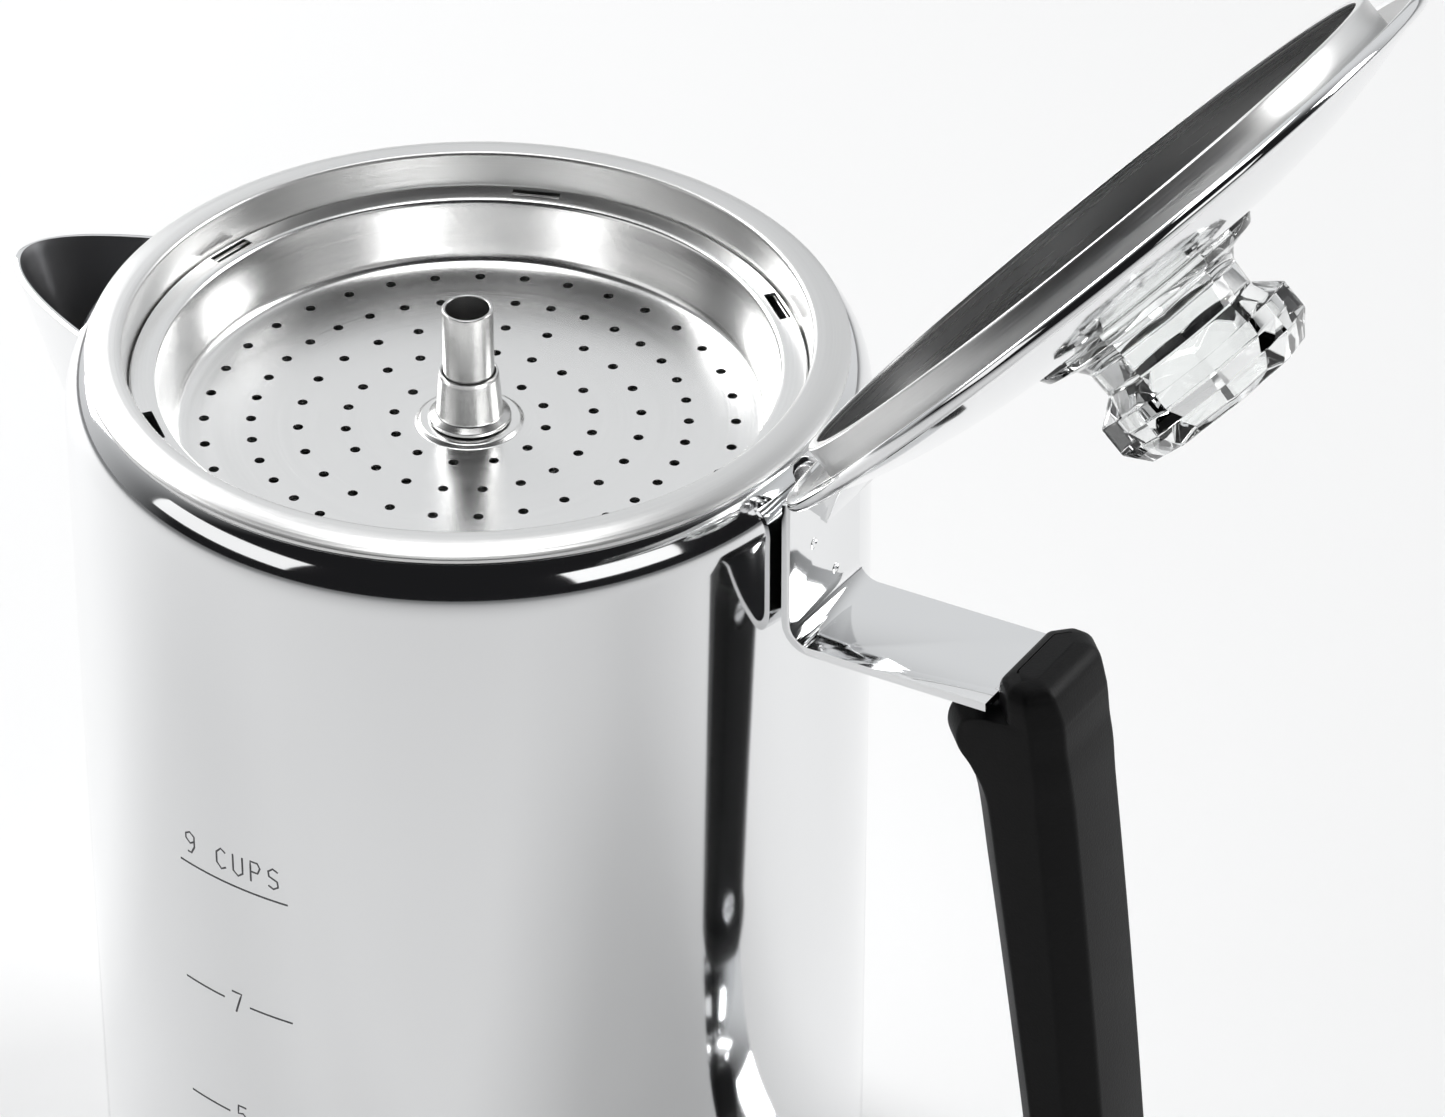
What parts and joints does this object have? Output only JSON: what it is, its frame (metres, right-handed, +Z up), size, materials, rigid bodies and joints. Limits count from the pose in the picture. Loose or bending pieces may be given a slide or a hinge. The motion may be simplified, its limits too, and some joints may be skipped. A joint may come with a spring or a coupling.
{
  "type": "coffee percolator",
  "caption": "Stainless-steel stovetop coffee percolator with open hinged lid, glass knob, lift-out basket, spreader and stem.",
  "frame": {"origin": "on the pot's axis, at the plane that the pot stands on", "axes": "+Z up along the pot's axis, +X towards the handle and hinge, -X towards the spout"},
  "size_m": [0.2455, 0.13, 0.2798],
  "materials": {
    "mirror_steel": "mirror polished stainless steel",
    "satin_steel": "satin stainless steel",
    "black_grip": "semi-matte black grip plastic",
    "clear_glass": "clear pressed glass"
  },
  "bodies": {
    "pot": {"pot_body": "mirror_steel", "base_disc": "satin_steel", "spout": "mirror_steel", "upper_strap": "mirror_steel", "lower_strap": "mirror_steel", "grip": "black_grip", "upper_grip_screw": "satin_steel", "lower_grip_screw": "satin_steel", "hinge_pin": "satin_steel"},
    "lid": {"lid_shell": "mirror_steel", "lid_skirt": "satin_steel", "lid_bracket": "mirror_steel", "knob_spring": "satin_steel"},
    "knob": {"knob_glass": "clear_glass"},
    "stem": {"stem_tube": "satin_steel", "stem_bell": "satin_steel"},
    "basket": {"basket": "satin_steel", "basket_sleeve": "satin_steel"},
    "spreader": {"spreader": "satin_steel", "spreader_collar": "satin_steel"}
  },
  "joints": [
    {"name": "lid_hinge", "type": "hinge", "parent": "pot", "child": "lid", "pos_m": [0.0695, 0, 0.1815], "axis": [0, 1, 0], "range_deg": [-132, 0]},
    {"name": "knob_twist", "type": "hinge", "parent": "lid", "child": "knob", "pos_m": [0.11601, 0, 0.23315], "axis": [0.7431, 0, -0.6691], "range_deg": [0, 90]},
    {"name": "stem_lift", "type": "slide", "parent": "pot", "child": "stem", "axis": [0, 0, 1], "range_m": [0, 0.18]},
    {"name": "basket_lift", "type": "slide", "parent": "stem", "child": "basket", "axis": [0, 0, 1], "range_m": [0, 0.075]},
    {"name": "spreader_lift", "type": "slide", "parent": "basket", "child": "spreader", "axis": [0, 0, 1], "range_m": [0, 0.025]}
  ]
}
